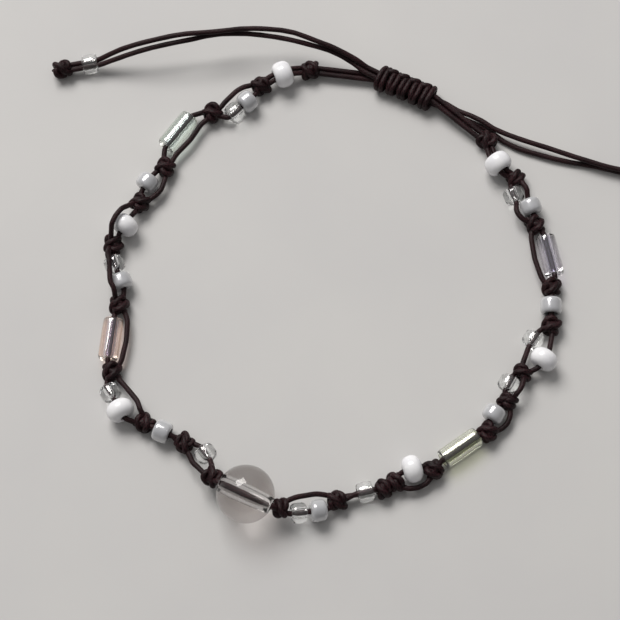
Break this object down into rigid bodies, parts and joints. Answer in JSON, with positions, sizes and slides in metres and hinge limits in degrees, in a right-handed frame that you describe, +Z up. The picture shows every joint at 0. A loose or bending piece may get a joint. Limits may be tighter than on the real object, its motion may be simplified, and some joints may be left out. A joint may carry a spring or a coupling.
{
  "type": "beaded bracelet",
  "caption": "Adjustable bracelet of dark braided cord knotted between small glass beads and a large clear round bead, closed by a sliding knot with loose beaded tails.",
  "frame": {"origin": "centre of the loop's box without the loose tails, at the height of the surface that it lies on", "axes": "+Z up from the surface, +Y from the large clear bead's side of the loop towards the sliding knot's, +X to the right"},
  "size_m": [0.0975, 0.0733, 0.0079],
  "materials": {
    "dark_brown_cord": "braided, lightly waxed",
    "opaque_white_glass": "polished",
    "grey_lustre_glass": "pearl lustre",
    "clear_glass": "polished",
    "iris_coated_glass": "polished with an iris coating",
    "clear_crystal": "polished"
  },
  "bodies": {
    "root": {"knotted_cord": "dark_brown_cord", "sliding_knot": "dark_brown_cord", "white_bead_1": "opaque_white_glass", "white_bead_2": "opaque_white_glass", "white_bead_3": "opaque_white_glass", "white_bead_4": "opaque_white_glass", "white_bead_5": "opaque_white_glass", "white_bead_6": "opaque_white_glass", "pearl_bead_1": "grey_lustre_glass", "pearl_bead_2": "grey_lustre_glass", "pearl_bead_3": "grey_lustre_glass", "pearl_bead_4": "grey_lustre_glass", "pearl_bead_5": "grey_lustre_glass", "pearl_bead_6": "grey_lustre_glass", "pearl_bead_7": "grey_lustre_glass", "pearl_bead_8": "grey_lustre_glass", "clear_bead_1": "clear_glass", "clear_bead_2": "clear_glass", "clear_bead_3": "clear_glass", "clear_bead_4": "clear_glass", "clear_bead_5": "clear_glass", "clear_bead_6": "clear_glass", "clear_bead_7": "clear_glass", "clear_bead_8": "clear_glass", "clear_bead_9": "clear_glass", "bugle_bead_1": "iris_coated_glass", "bugle_bead_2": "iris_coated_glass", "bugle_bead_3": "iris_coated_glass", "bugle_bead_4": "iris_coated_glass", "crystal_bead": "clear_crystal", "tail_left_outer": "dark_brown_cord", "tail_left_inner": "dark_brown_cord", "tail_right_outer": "dark_brown_cord", "tail_right_inner": "dark_brown_cord", "tail_bead_left": "clear_glass", "tail_bead_right": "clear_glass", "end_knot_left": "dark_brown_cord", "end_knot_right": "dark_brown_cord"}
  },
  "joints": []
}
